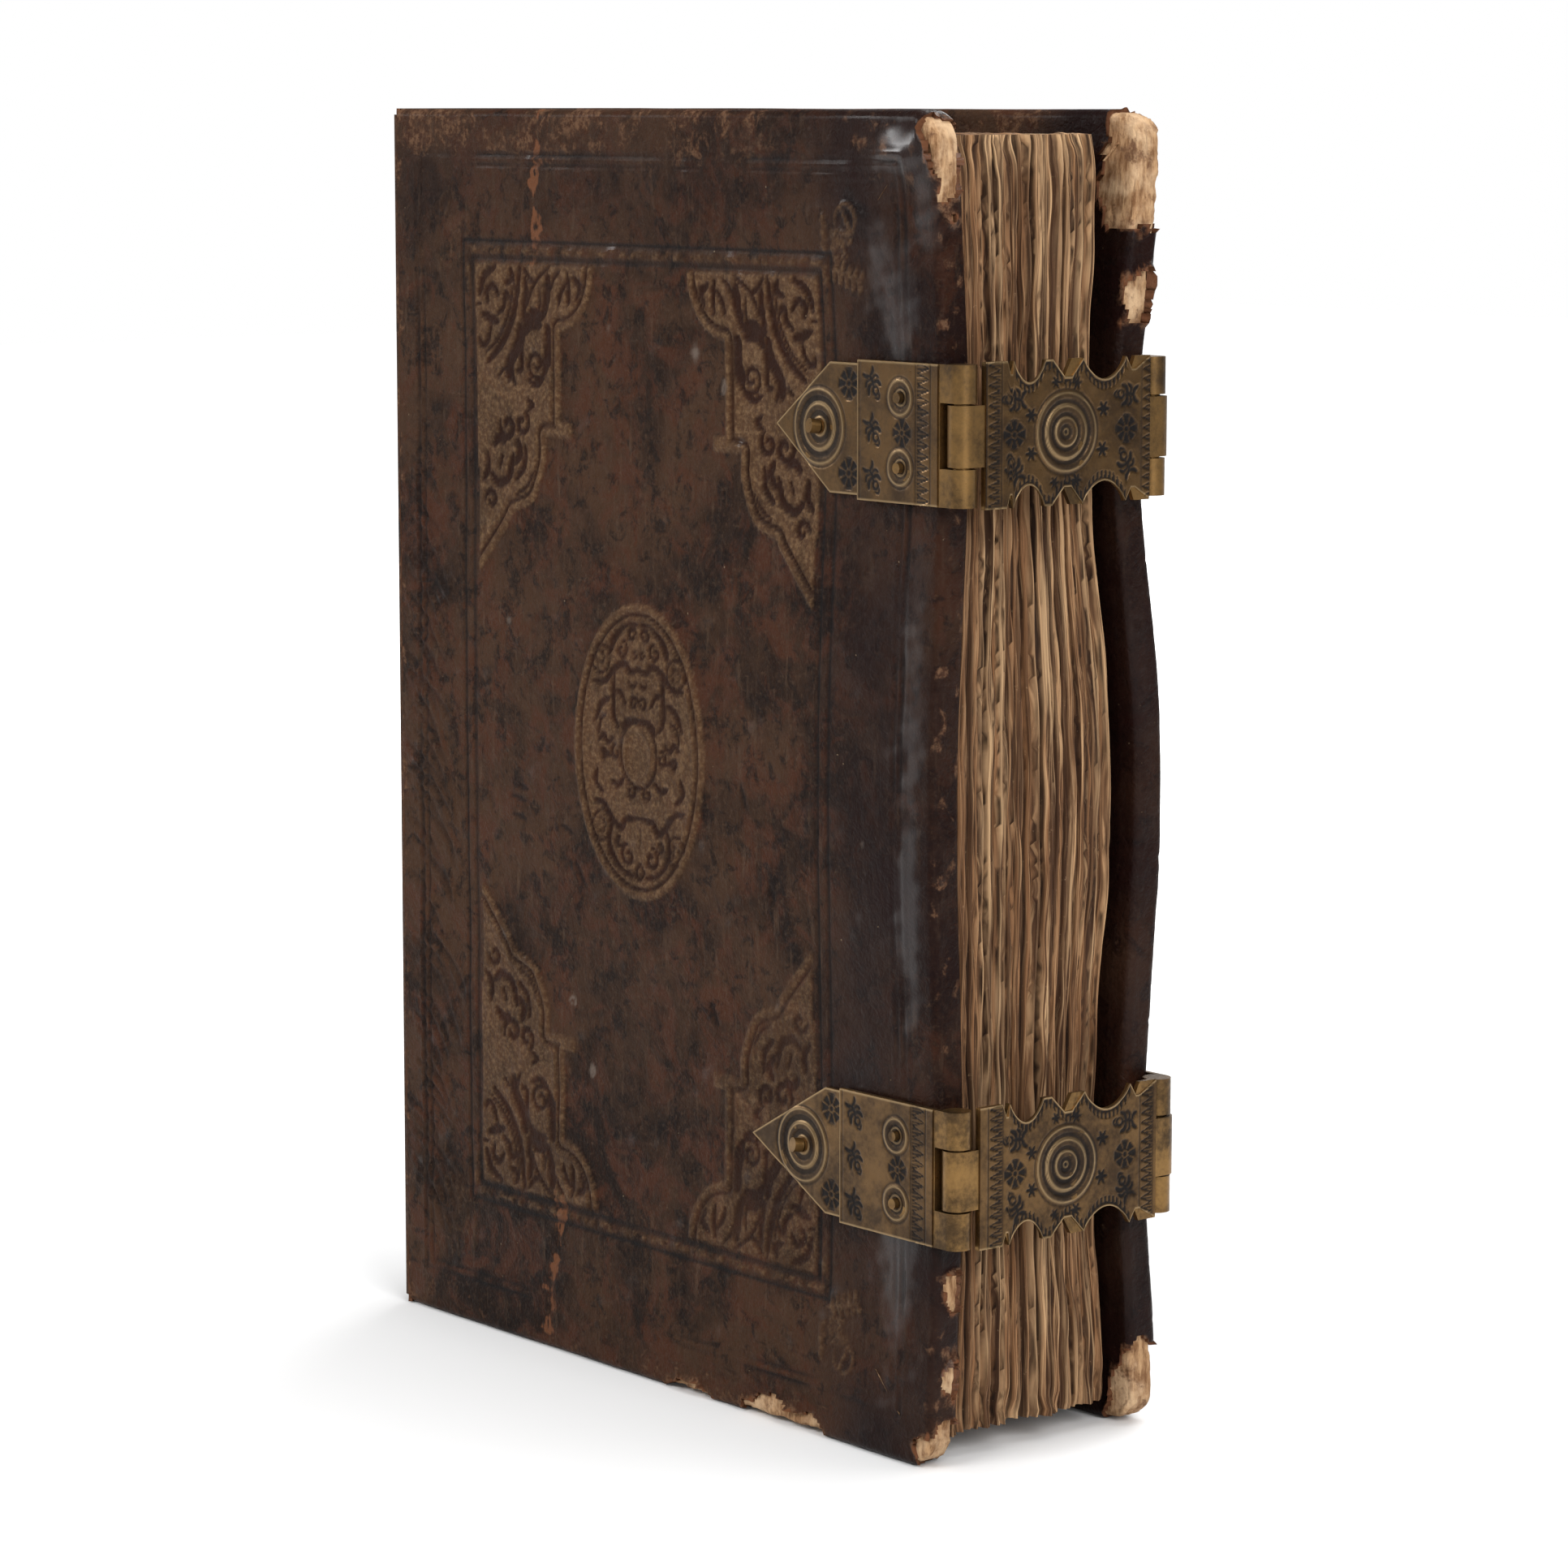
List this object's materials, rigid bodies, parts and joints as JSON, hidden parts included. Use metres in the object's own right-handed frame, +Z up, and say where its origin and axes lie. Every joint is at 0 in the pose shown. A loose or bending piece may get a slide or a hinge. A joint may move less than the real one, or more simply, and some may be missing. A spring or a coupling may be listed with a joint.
{
  "type": "psalter",
  "caption": "Old leather-bound psalter standing on its tail, with wooden boards, stamped leather covers that open, and hooked brass clasps that swing at the fore-edge.",
  "frame": {"origin": "bottom centre of the closed book's bounding box, on the surface that it stands on", "axes": "+Z up along the spine from tail to head, spine at -X, fore-edge at +X, front cover facing -Y"},
  "size_m": [0.1508, 0.048, 0.2],
  "materials": {
    "cover_leather": "worn, dark red-brown, semi-gloss",
    "board_wood": "bare, fibrous",
    "leaf_edges": "browned, uneven",
    "lining_paper": "matt, aged",
    "clasp_brass": "old brown patina with bright edges",
    "sewing_linen": "matt thread and cord"
  },
  "bodies": {
    "book_block": {"text_block": "leaf_edges", "spine_leather": "cover_leather", "headband": "sewing_linen", "tailband": "sewing_linen", "band_1": "sewing_linen", "band_2": "sewing_linen", "band_3": "sewing_linen", "band_4": "sewing_linen"},
    "front_cover": {"front_board": "board_wood", "front_leather": "cover_leather", "front_pastedown": "lining_paper", "upper_anchor_plate": "clasp_brass", "lower_anchor_plate": "clasp_brass", "upper_hinge_pin": "clasp_brass", "lower_hinge_pin": "clasp_brass", "large_rivets": "clasp_brass", "small_rivets": "clasp_brass"},
    "back_cover": {"back_board": "board_wood", "back_leather": "cover_leather", "back_pastedown": "lining_paper", "upper_catch_plate": "clasp_brass", "lower_catch_plate": "clasp_brass", "upper_catch_pin": "clasp_brass", "lower_catch_pin": "clasp_brass", "catch_rivets": "clasp_brass"},
    "upper_clasp": {"upper_clasp_arm": "clasp_brass"},
    "lower_clasp": {"lower_clasp_arm": "clasp_brass"}
  },
  "joints": [
    {"name": "front_cover_hinge", "type": "hinge", "parent": "book_block", "child": "front_cover", "pos_m": [-0.06688, -0.02066, 0.1], "axis": [0, 0, -1], "range_deg": [0, 170]},
    {"name": "back_cover_hinge", "type": "hinge", "parent": "book_block", "child": "back_cover", "pos_m": [-0.06688, 0.02084, 0.1], "axis": [0, 0, 1], "range_deg": [0, 170]},
    {"name": "upper_clasp_hinge", "type": "hinge", "parent": "front_cover", "child": "upper_clasp", "pos_m": [0.07303, -0.02006, 0.1535], "axis": [0, 0, -1], "range_deg": [0, 170]},
    {"name": "lower_clasp_hinge", "type": "hinge", "parent": "front_cover", "child": "lower_clasp", "pos_m": [0.07303, -0.02046, 0.0445], "axis": [0, 0, -1], "range_deg": [0, 170]}
  ]
}
